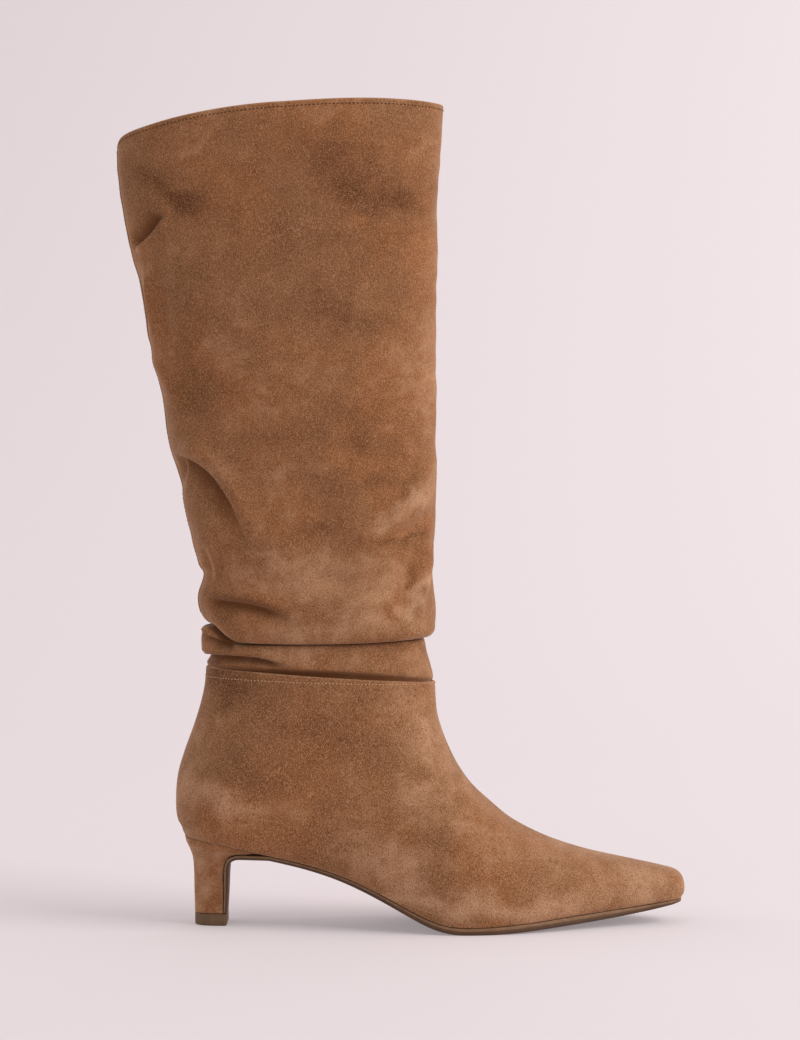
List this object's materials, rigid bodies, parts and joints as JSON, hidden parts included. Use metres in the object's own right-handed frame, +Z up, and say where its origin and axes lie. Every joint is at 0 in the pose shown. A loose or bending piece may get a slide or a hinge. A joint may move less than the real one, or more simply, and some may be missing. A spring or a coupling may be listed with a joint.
{
  "type": "slouch boot",
  "caption": "Tall suede slouch boot for the right foot, with a pointed toe, a slack shaft bunched above the ankle and a kitten heel.",
  "frame": {"origin": "middle of the heel tip's tread, on the floor that the boot stands on", "axes": "+X forward to the toe, +Y to the inner side of the right foot, +Z up the leg"},
  "size_m": [0.3039, 0.0885, 0.4392],
  "materials": {
    "suede": "brushed tan suede, matt with a soft nap",
    "sole_resin": "brown moulded sole, satin",
    "tip_rubber": "brown heel tip, satin",
    "sock": "smooth tan sock lining"
  },
  "bodies": {
    "root": {"upper": "suede", "shaft": "suede", "heel": "suede", "outsole": "sole_resin", "heel_tip": "tip_rubber", "insole": "sock"}
  },
  "joints": []
}
